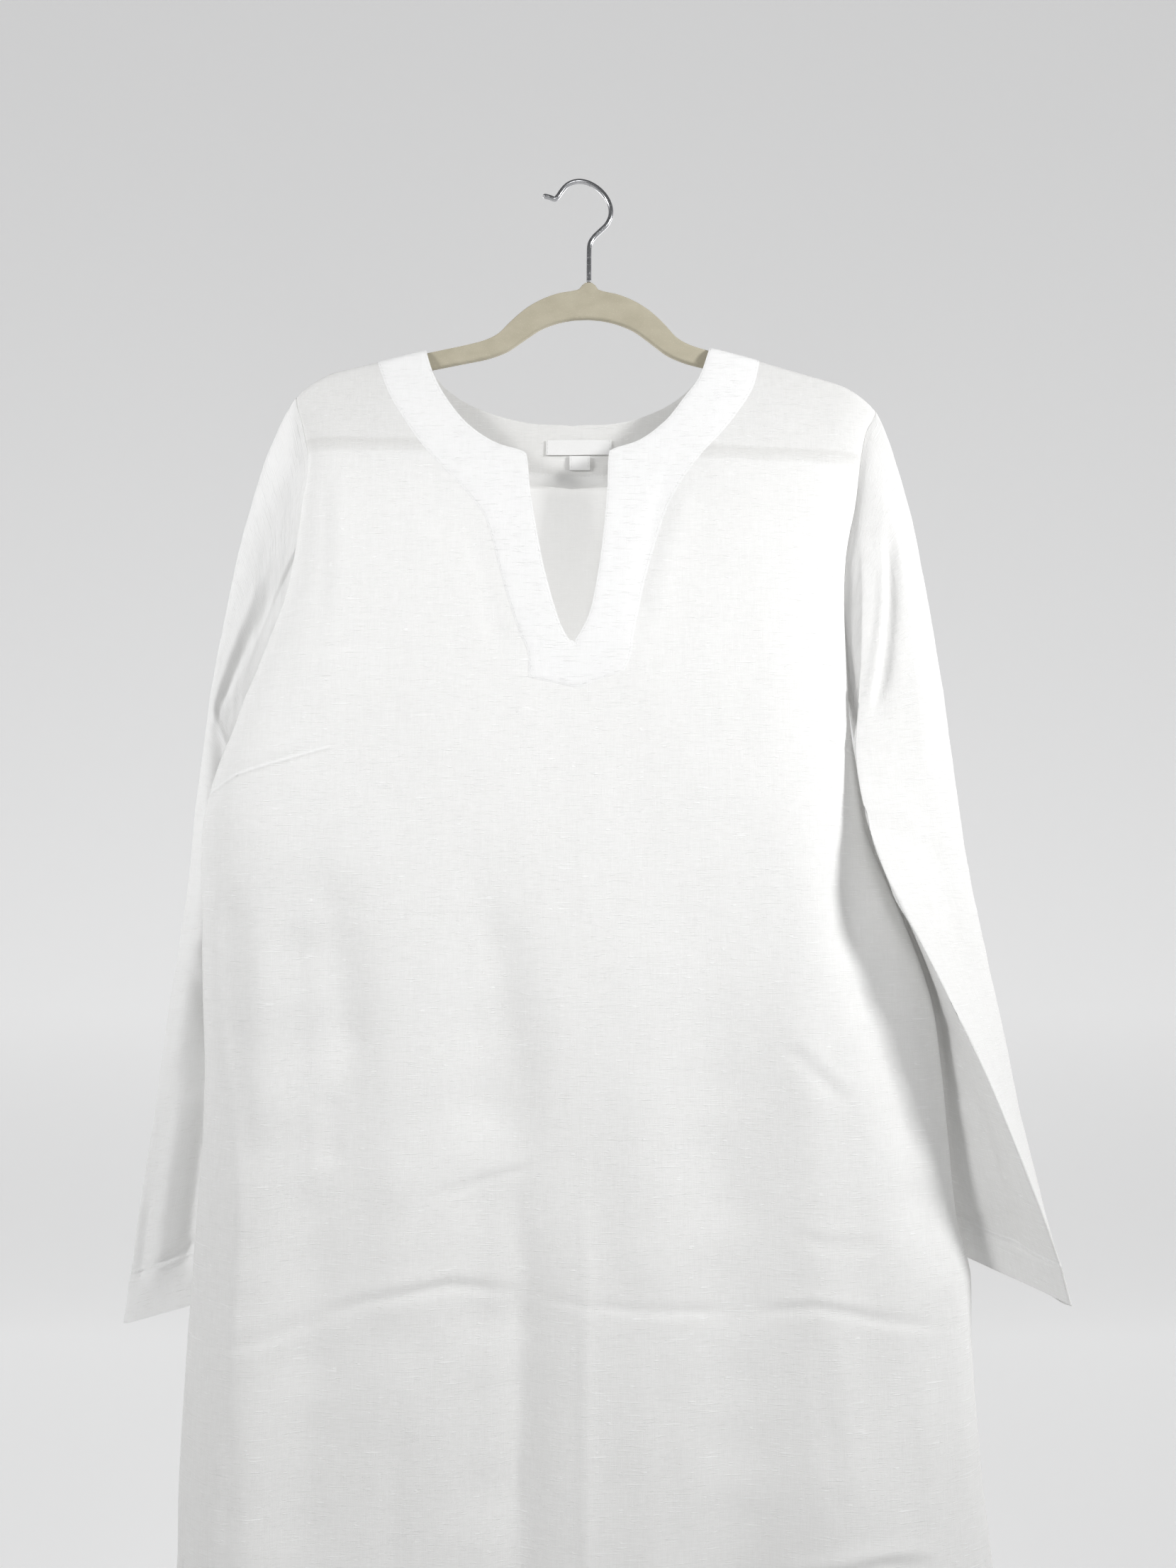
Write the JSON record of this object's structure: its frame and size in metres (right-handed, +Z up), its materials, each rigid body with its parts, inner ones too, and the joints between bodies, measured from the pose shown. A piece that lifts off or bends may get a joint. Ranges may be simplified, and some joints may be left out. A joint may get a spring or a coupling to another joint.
{
  "type": "maxi dress on a hanger",
  "caption": "Long pale linen kaftan dress with long sleeves and a banded slit neck, hung by the shoulders on a flocked hanger with a wire hook.",
  "frame": {"origin": "top of the inside of the hanger's hook, where a nail or a rail carries it", "axes": "+Z up along the garment's length; the dress faces -Y, so a wall stands behind it at +Y; +X to the viewer's right"},
  "size_m": [0.7066, 0.0837, 1.4939],
  "materials": {
    "dress_front": "off-white slub linen, plain weave",
    "dress_back": "off-white slub linen, plain weave",
    "sleeve_left": "off-white slub linen, plain weave",
    "sleeve_right": "off-white slub linen, plain weave",
    "neck_band": "second layer of the same linen, whiter where it lies double",
    "back_facing": "linen facing with a turned hem",
    "neck_label": "woven satin label, bare",
    "size_label": "woven satin label, bare",
    "hanger": "beige velvet flocking over plastic",
    "hanger_hook": "polished wire"
  },
  "bodies": {
    "root": {"dress_front": "dress_front", "dress_back": "dress_back", "sleeve_left": "sleeve_left", "sleeve_right": "sleeve_right", "neck_band": "neck_band", "back_facing": "back_facing", "neck_label": "neck_label", "size_label": "size_label", "hanger": "hanger", "hanger_hook": "hanger_hook"}
  },
  "joints": []
}
